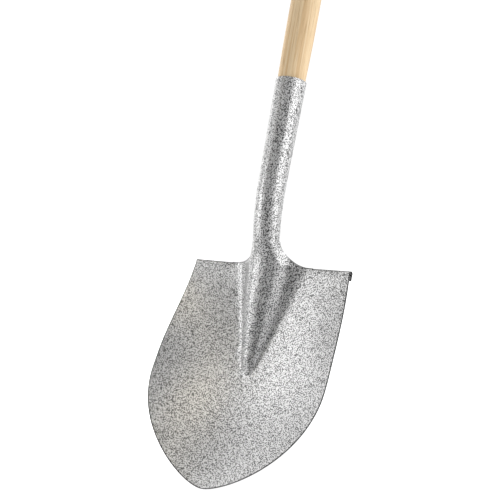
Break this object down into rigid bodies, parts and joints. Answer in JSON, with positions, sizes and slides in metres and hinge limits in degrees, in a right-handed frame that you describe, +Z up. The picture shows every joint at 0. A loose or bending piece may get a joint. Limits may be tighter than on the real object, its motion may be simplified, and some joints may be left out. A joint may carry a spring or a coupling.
{
  "type": "round point spade",
  "caption": "Long handled digging spade with a dished round pointed steel blade, rolled socket and straight ash handle.",
  "frame": {"origin": "on the floor under the middle of the tool's bounding box, with the tool lying on its back", "axes": "+Y up the handle towards the butt, +X to the right seen from the front, +Z up, out of the blade's front face"},
  "size_m": [0.27, 1.5054, 0.0757],
  "materials": {
    "hammertone_paint": "silver grey hammertone enamel",
    "ash_wood": "sanded, thin clear coat",
    "bright_steel": "bright"
  },
  "bodies": {
    "root": {"blade": "hammertone_paint", "handle": "ash_wood", "socket_rivets": "bright_steel"}
  },
  "joints": []
}
